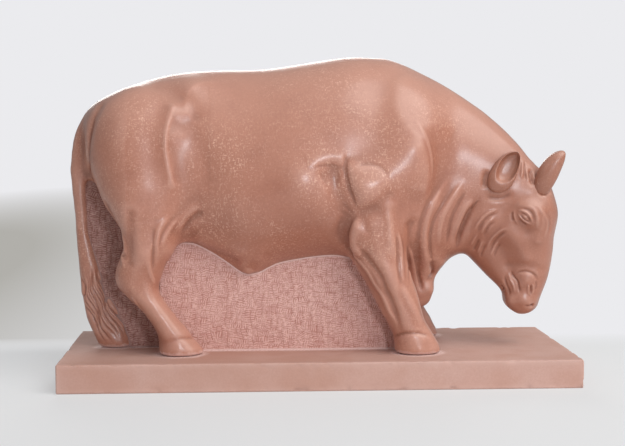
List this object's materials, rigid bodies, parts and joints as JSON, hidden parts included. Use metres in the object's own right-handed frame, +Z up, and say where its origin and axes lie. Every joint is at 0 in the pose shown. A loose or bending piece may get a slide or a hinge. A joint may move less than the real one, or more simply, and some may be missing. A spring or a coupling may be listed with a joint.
{
  "type": "bull sculpture",
  "caption": "Carved red sandstone bull standing with its head lowered on a plain rectangular slab, with stone left standing between its legs.",
  "frame": {"origin": "centre of the slab's flat underside", "axes": "+X towards the bull's head along the slab's length, +Y towards the bull's left side, +Z up"},
  "size_m": [0.5657, 0.22, 0.3567],
  "materials": {
    "polished_stone": "rubbed to a satin, terracotta brown with pale grains",
    "tooled_stone": "matt, short crossed chisel strokes, pale pink",
    "slab_stone": "matt, rubbed flat, soft arrises"
  },
  "bodies": {
    "root": {"plinth": "slab_stone", "tail": "polished_stone", "head": "polished_stone", "brisket": "polished_stone", "foreleg_right": "polished_stone", "foreleg_left": "polished_stone", "hind_leg_right": "polished_stone", "hind_leg_left": "polished_stone", "neck": "polished_stone", "torso": "polished_stone", "belly_web": "tooled_stone", "tail_web": "tooled_stone", "horn_right": "polished_stone", "ear_right": "polished_stone", "horn_left": "polished_stone", "ear_left": "polished_stone"}
  },
  "joints": []
}
